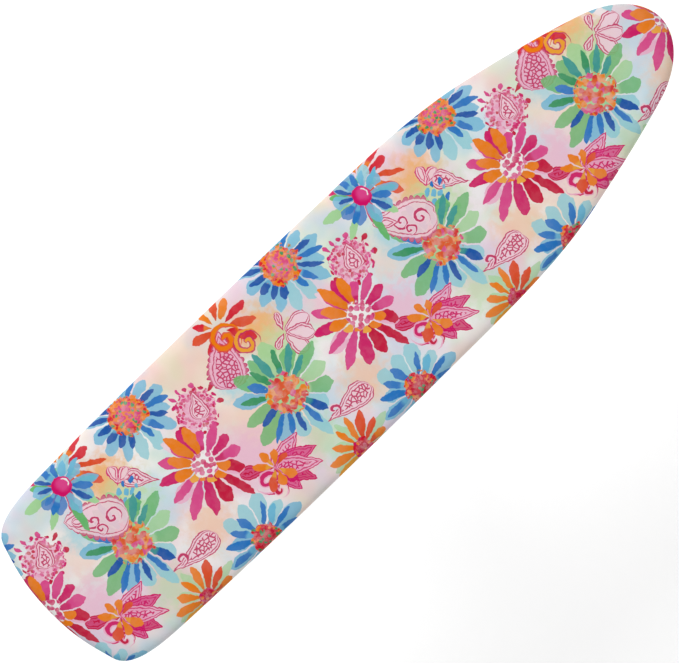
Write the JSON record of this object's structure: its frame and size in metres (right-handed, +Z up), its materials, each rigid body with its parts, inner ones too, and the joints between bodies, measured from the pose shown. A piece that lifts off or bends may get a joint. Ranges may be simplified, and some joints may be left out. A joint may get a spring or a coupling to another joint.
{
  "type": "ironing board",
  "caption": "Folding ironing board with a padded, floral covered top, scissor legs, a sliding rod in a height track and a release lever.",
  "frame": {"origin": "on the floor, under the centre of the board's plan outline", "axes": "+X towards the nose, +Y towards the side with the release lever, +Z up"},
  "size_m": [1.372, 0.3418, 0.9],
  "materials": {
    "printed_cover": "printed cotton, soft floral wash on off-white",
    "felt": "needled felt",
    "elastic": "braided elastic",
    "deck_paint": "satin powder coat",
    "leg_paint": "satin powder coat",
    "zinc": "zinc plated",
    "spring_steel": "drawn wire",
    "rubber": "matt moulded",
    "nylon": "natural nylon",
    "grip_plastic": "moulded, fine texture"
  },
  "bodies": {
    "top": {"cover": "printed_cover", "pad": "felt", "hem_elastic": "elastic", "deck": "deck_paint", "rim_frame": "deck_paint", "rear_cross_stay": "deck_paint", "middle_cross_stay": "deck_paint", "front_cross_stay": "deck_paint", "height_track": "deck_paint", "hinge_bracket_left": "deck_paint", "hinge_bracket_right": "deck_paint", "hinge_pin_left": "zinc", "hinge_pin_right": "zinc", "latch_pivot_pin": "zinc", "latch_spring": "spring_steel"},
    "outer_leg_frame": {"outer_leg_left": "leg_paint", "outer_leg_right": "leg_paint", "outer_foot_bar": "leg_paint", "outer_foot_cap_left": "rubber", "outer_foot_cap_right": "rubber", "outer_leg_brace": "leg_paint", "pivot_bolt_left": "zinc", "pivot_bolt_right": "zinc", "pivot_spacer_left": "nylon", "pivot_spacer_right": "nylon", "pivot_nut_left": "zinc", "pivot_nut_right": "zinc"},
    "inner_leg_frame": {"inner_leg_left": "leg_paint", "inner_leg_right": "leg_paint", "inner_foot_bar": "leg_paint", "inner_foot_cap_left": "rubber", "inner_foot_cap_right": "rubber", "inner_leg_brace": "leg_paint", "slide_rod": "zinc", "rod_bush_left": "nylon", "rod_bush_right": "nylon"},
    "latch": {"latch_plate": "zinc", "release_lever": "zinc", "lever_grip": "grip_plastic"}
  },
  "joints": [
    {"name": "leg_fold", "type": "hinge", "parent": "top", "child": "outer_leg_frame", "pos_m": [-0.48, 0, 0.8537], "axis": [0, -1, 0], "range_deg": [0, 51]},
    {"name": "leg_cross_pivot", "type": "hinge", "parent": "outer_leg_frame", "child": "inner_leg_frame", "pos_m": [-0.15358, 0, 0.44892], "axis": [0, 1, 0], "range_deg": [0, 102]},
    {"name": "latch_release", "type": "hinge", "parent": "top", "child": "latch", "pos_m": [0.43, 0, 0.8697], "axis": [0, 1, 0], "range_deg": [0, 1.5], "stiffness_Nm_per_rad": 20, "springref_deg": -2.86, "deforming": ["latch_spring"]}
  ],
  "couplings": [
    {"joint": "leg_cross_pivot", "follows": "leg_fold", "ratio": 2}
  ]
}
